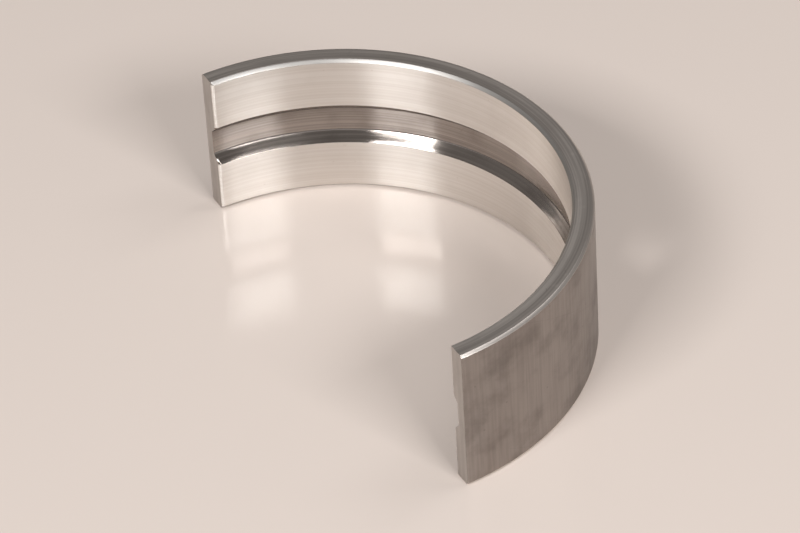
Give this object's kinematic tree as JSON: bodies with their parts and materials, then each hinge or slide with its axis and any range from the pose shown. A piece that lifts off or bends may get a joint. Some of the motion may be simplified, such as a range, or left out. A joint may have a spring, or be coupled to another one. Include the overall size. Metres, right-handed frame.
{
  "type": "engine bearing shell",
  "caption": "Half-round, steel-backed engine main bearing shell with an oil groove along its running face and an oil hole that feeds the groove from the back.",
  "frame": {"origin": "centre of the bearing, on its axis and halfway along its width", "axes": "+Z along the bearing axis, with the shell standing on its lower side face; +Y from the joint plane to the crown; the oil hole lies between the crown and the +X joint face"},
  "size_m": [0.059, 0.0295, 0.0184],
  "materials": {
    "bearing_metal": "fine-turned pale running face on a satin grey-brown steel back"
  },
  "bodies": {
    "root": {"bearing_shell": "bearing_metal"}
  },
  "joints": []
}
